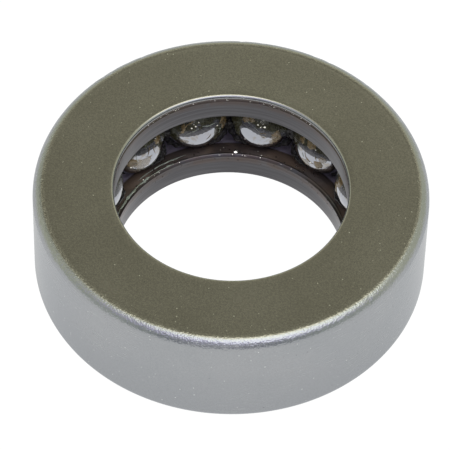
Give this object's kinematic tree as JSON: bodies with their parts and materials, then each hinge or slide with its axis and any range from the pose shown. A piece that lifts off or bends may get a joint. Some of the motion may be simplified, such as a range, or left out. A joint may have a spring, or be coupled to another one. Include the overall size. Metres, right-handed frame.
{
  "type": "banded thrust ball bearing",
  "caption": "Flat steel thrust bearing: two grooved washers and a full row of balls inside a drawn steel band with a rolled lip, for axial load.",
  "frame": {"origin": "on the bore axis, in the plane of the lower washer's seat", "axes": "+Z along the bore, from the lower washer's seat towards the closed top of the band; +X and +Y are any two directions square to it, and the bearing is round"},
  "size_m": [0.051, 0.051, 0.016],
  "materials": {
    "band_steel": "satin cold-drawn sheet steel, lightly scuffed",
    "washer_steel": "turned and ground, oily",
    "ball_steel": "mirror polished, greased",
    "grease": "translucent amber grease"
  },
  "bodies": {
    "band_assembly": {"outer_band": "band_steel", "upper_washer": "washer_steel"},
    "lower_washer": {"lower_washer": "washer_steel"},
    "ball_row": {"grease": "grease"},
    "ball_01": {"ball_01": "ball_steel"},
    "ball_02": {"ball_02": "ball_steel"},
    "ball_03": {"ball_03": "ball_steel"},
    "ball_04": {"ball_04": "ball_steel"},
    "ball_05": {"ball_05": "ball_steel"},
    "ball_06": {"ball_06": "ball_steel"},
    "ball_07": {"ball_07": "ball_steel"},
    "ball_08": {"ball_08": "ball_steel"},
    "ball_09": {"ball_09": "ball_steel"},
    "ball_10": {"ball_10": "ball_steel"},
    "ball_11": {"ball_11": "ball_steel"},
    "ball_12": {"ball_12": "ball_steel"},
    "ball_13": {"ball_13": "ball_steel"}
  },
  "joints": [
    {"name": "washer_spin", "type": "hinge", "parent": "band_assembly", "child": "lower_washer", "pos_m": [0, 0, 0.00195], "axis": [0, 0, 1], "continuous": true},
    {"name": "ball_row_orbit", "type": "hinge", "parent": "band_assembly", "child": "ball_row", "pos_m": [0, 0, 0.0078], "axis": [0, 0, 1], "continuous": true},
    {"name": "ball_01_roll", "type": "hinge", "parent": "ball_row", "child": "ball_01", "pos_m": [0.01842, 0.00767, 0.0078], "axis": [0.9232, 0.3843, 0], "continuous": true},
    {"name": "ball_02_roll", "type": "hinge", "parent": "ball_row", "child": "ball_02", "pos_m": [0.01275, 0.01535, 0.0078], "axis": [0.6389, 0.7693, 0], "continuous": true},
    {"name": "ball_03_roll", "type": "hinge", "parent": "ball_row", "child": "ball_03", "pos_m": [0.00415, 0.01951, 0.0078], "axis": [0.2082, 0.9781, 0], "continuous": true},
    {"name": "ball_04_roll", "type": "hinge", "parent": "ball_row", "child": "ball_04", "pos_m": [-0.00539, 0.01921, 0.0078], "axis": [-0.2702, 0.9628, 0], "continuous": true},
    {"name": "ball_05_roll", "type": "hinge", "parent": "ball_row", "child": "ball_05", "pos_m": [-0.0137, 0.0145, 0.0078], "axis": [-0.6867, 0.7269, 0], "continuous": true},
    {"name": "ball_06_roll", "type": "hinge", "parent": "ball_row", "child": "ball_06", "pos_m": [-0.01887, 0.00647, 0.0078], "axis": [-0.9459, 0.3246, 0], "continuous": true},
    {"name": "ball_07_roll", "type": "hinge", "parent": "ball_row", "child": "ball_07", "pos_m": [-0.01972, -0.00304, 0.0078], "axis": [-0.9884, -0.1522, 0], "continuous": true},
    {"name": "ball_08_roll", "type": "hinge", "parent": "ball_row", "child": "ball_08", "pos_m": [-0.01605, -0.01185, 0.0078], "axis": [-0.8044, -0.5941, 0], "continuous": true},
    {"name": "ball_09_roll", "type": "hinge", "parent": "ball_row", "child": "ball_09", "pos_m": [-0.0087, -0.01795, 0.0078], "axis": [-0.4362, -0.8999, 0], "continuous": true},
    {"name": "ball_10_roll", "type": "hinge", "parent": "ball_row", "child": "ball_10", "pos_m": [0.00064, -0.01994, 0.0078], "axis": [0.0319, -0.9995, 0], "continuous": true},
    {"name": "ball_11_roll", "type": "hinge", "parent": "ball_row", "child": "ball_11", "pos_m": [0.00983, -0.01736, 0.0078], "axis": [0.4928, -0.8702, 0], "continuous": true},
    {"name": "ball_12_roll", "type": "hinge", "parent": "ball_row", "child": "ball_12", "pos_m": [0.01677, -0.0108, 0.0078], "axis": [0.8407, -0.5415, 0], "continuous": true},
    {"name": "ball_13_roll", "type": "hinge", "parent": "ball_row", "child": "ball_13", "pos_m": [0.01987, -0.00177, 0.0078], "axis": [0.9961, -0.0888, 0], "continuous": true}
  ],
  "couplings": [
    {"joint": "ball_row_orbit", "follows": "washer_spin", "ratio": 0.5},
    {"joint": "ball_01_roll", "follows": "washer_spin", "ratio": 2.0945},
    {"joint": "ball_02_roll", "follows": "washer_spin", "ratio": 2.0945},
    {"joint": "ball_03_roll", "follows": "washer_spin", "ratio": 2.0945},
    {"joint": "ball_04_roll", "follows": "washer_spin", "ratio": 2.0945},
    {"joint": "ball_05_roll", "follows": "washer_spin", "ratio": 2.0945},
    {"joint": "ball_06_roll", "follows": "washer_spin", "ratio": 2.0945},
    {"joint": "ball_07_roll", "follows": "washer_spin", "ratio": 2.0945},
    {"joint": "ball_08_roll", "follows": "washer_spin", "ratio": 2.0945},
    {"joint": "ball_09_roll", "follows": "washer_spin", "ratio": 2.0945},
    {"joint": "ball_10_roll", "follows": "washer_spin", "ratio": 2.0945},
    {"joint": "ball_11_roll", "follows": "washer_spin", "ratio": 2.0945},
    {"joint": "ball_12_roll", "follows": "washer_spin", "ratio": 2.0945},
    {"joint": "ball_13_roll", "follows": "washer_spin", "ratio": 2.0945}
  ]
}
